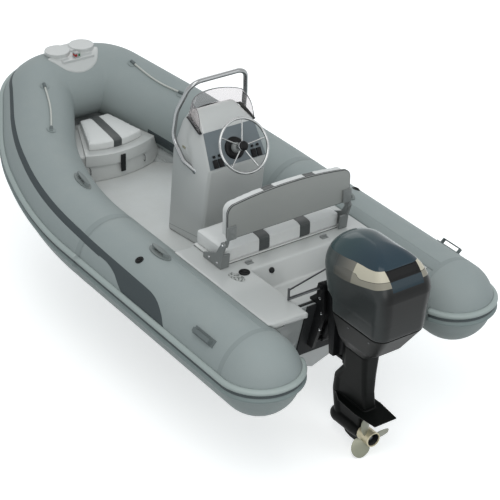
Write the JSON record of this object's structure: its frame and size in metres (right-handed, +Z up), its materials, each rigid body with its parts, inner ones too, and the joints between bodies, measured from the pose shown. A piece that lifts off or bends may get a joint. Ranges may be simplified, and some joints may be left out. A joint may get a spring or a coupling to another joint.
{
  "type": "rigid inflatable boat with helm console and outboard motor",
  "caption": "Rigid inflatable tender: V hull in three buoyancy tubes, helm console, bench seat, bow locker, and an outboard motor that tilts and steers.",
  "frame": {"origin": "on the centreline at the light waterline, 1.5 m ahead of the stern end of the straight tubes", "axes": "+X towards the bow, +Y to port, +Z up"},
  "size_m": [3.8093, 1.8832, 1.7724],
  "materials": {
    "tube_fabric": "coated boat cloth, light grey, satin",
    "strake_rubber": "grey extruded rubber, satin",
    "trim_rubber": "black rubber, matt",
    "hull_gelcoat": "white gelcoat, glossy",
    "deck_gelcoat": "pale grey gelcoat, satin",
    "sole_antislip": "pale grey moulded anti-slip gelcoat",
    "vinyl_white": "white upholstery vinyl with dark stripes",
    "back_panel": "warm grey moulded panel, satin",
    "bracket_grey": "dark grey moulded plastic",
    "dash_grey": "slate grey moulded panel",
    "black_plastic": "black moulded plastic",
    "screen_acrylic": "clear acrylic, a little smoked",
    "stainless": "polished stainless steel",
    "light_housing": "grey housing with red and green lenses",
    "plate_blank": "bare oval plate",
    "cowl_paint": "dark blue-black cowling paint, glossy",
    "pan_paint": "dark grey paint, satin",
    "leg_paint": "dark metallic grey paint",
    "bracket_paint": "black paint, satin",
    "rod_steel": "ground steel",
    "engine_iron": "plain block",
    "propeller_paint": "worn dark paint over aluminium",
    "rope": "dark braided rope"
  },
  "bodies": {
    "root": {"tube_port": "tube_fabric", "tube_starboard": "tube_fabric", "tube_bow": "tube_fabric", "rub_strake_port": "strake_rubber", "rub_strake_starboard": "strake_rubber", "rub_strake_bow": "strake_rubber", "hull": "hull_gelcoat", "transom": "deck_gelcoat", "motor_pad": "black_plastic", "cockpit_sole": "sole_antislip", "stern_deck": "deck_gelcoat", "seat_hinges": "stainless", "bow_locker": "deck_gelcoat", "bow_step": "deck_gelcoat", "bow_light": "light_housing", "console": "deck_gelcoat", "dash_panel": "dash_grey", "helm_bezel": "black_plastic", "dash_switches": "black_plastic", "windscreen": "screen_acrylic", "grab_rail": "stainless", "clamp_bracket": "bracket_paint", "tilt_cylinder": "bracket_paint", "tube_handles": "trim_rubber", "carry_handles": "strake_rubber", "inflation_valves": "black_plastic", "deck_caps": "black_plastic", "well_drain": "black_plastic", "deck_plate": "plate_blank", "stem_eye": "stainless", "transom_eyes": "stainless", "grab_line_port": "rope", "grab_line_starboard": "rope", "line_patches": "trim_rubber"},
    "helm_seat": {"seat_lid": "bracket_grey", "seat_cushion": "vinyl_white", "seat_brackets": "bracket_grey"},
    "backrest": {"backrest_arms": "bracket_grey", "backrest_panel": "back_panel", "backrest_cushion": "vinyl_white"},
    "bow_lid": {"bow_locker_lid": "deck_gelcoat", "bow_cushion": "vinyl_white", "locker_latch": "trim_rubber"},
    "helm_wheel": {"steering_wheel": "stainless"},
    "motor_bracket": {"swivel_bracket": "bracket_paint"},
    "ram": {"steering_ram": "rod_steel"},
    "motor": {"midsection": "leg_paint", "gearcase": "leg_paint", "engine_pan": "pan_paint", "engine_cover": "cowl_paint", "engine_block": "engine_iron"},
    "screw": {"propeller": "propeller_paint"},
    "cylinder_rod": {"tilt_rod": "rod_steel"}
  },
  "joints": [
    {"name": "outboard_tilt", "type": "hinge", "parent": "root", "child": "motor_bracket", "pos_m": [-1.295, 0, 0.422], "axis": [0, 1, 0], "range_deg": [0, 70]},
    {"name": "outboard_steer", "type": "hinge", "parent": "motor_bracket", "child": "motor", "pos_m": [-1.4, 0, 0.2], "axis": [0, 0, 1], "range_deg": [-30, 30]},
    {"name": "propeller_spin", "type": "hinge", "parent": "motor", "child": "screw", "pos_m": [-1.6625, 0, -0.412], "axis": [1, 0, 0], "continuous": true},
    {"name": "steering_ram_slide", "type": "slide", "parent": "motor_bracket", "child": "ram", "axis": [0, 1, 0], "range_m": [-0.0901, 0.0901]},
    {"name": "tilt_rod_slide", "type": "slide", "parent": "root", "child": "cylinder_rod", "axis": [-0.347, 0, 0.9379], "range_m": [0, 0.1057]},
    {"name": "helm_turn", "type": "hinge", "parent": "root", "child": "helm_wheel", "pos_m": [-0.3869, 0, 0.8845], "axis": [0.8688, 0, -0.4952], "range_deg": [-600, 600]},
    {"name": "seat_lid_lift", "type": "hinge", "parent": "root", "child": "helm_seat", "pos_m": [-0.828, 0, 0.411], "axis": [0, 1, 0], "range_deg": [-60, 0]},
    {"name": "backrest_fold", "type": "hinge", "parent": "helm_seat", "child": "backrest", "pos_m": [-0.833, 0, 0.572], "axis": [0, 1, 0], "range_deg": [0, 80]},
    {"name": "bow_lid_lift", "type": "hinge", "parent": "root", "child": "bow_lid", "pos_m": [1.35, 0, 0.3014], "axis": [0, 1, 0], "range_deg": [0, 45]}
  ],
  "couplings": [
    {"joint": "steering_ram_slide", "follows": "outboard_steer", "m_per_rad": 0.17189},
    {"joint": "tilt_rod_slide", "follows": "outboard_tilt", "m_per_rad": 0.08643},
    {"joint": "helm_turn", "follows": "outboard_steer", "ratio": 20}
  ]
}
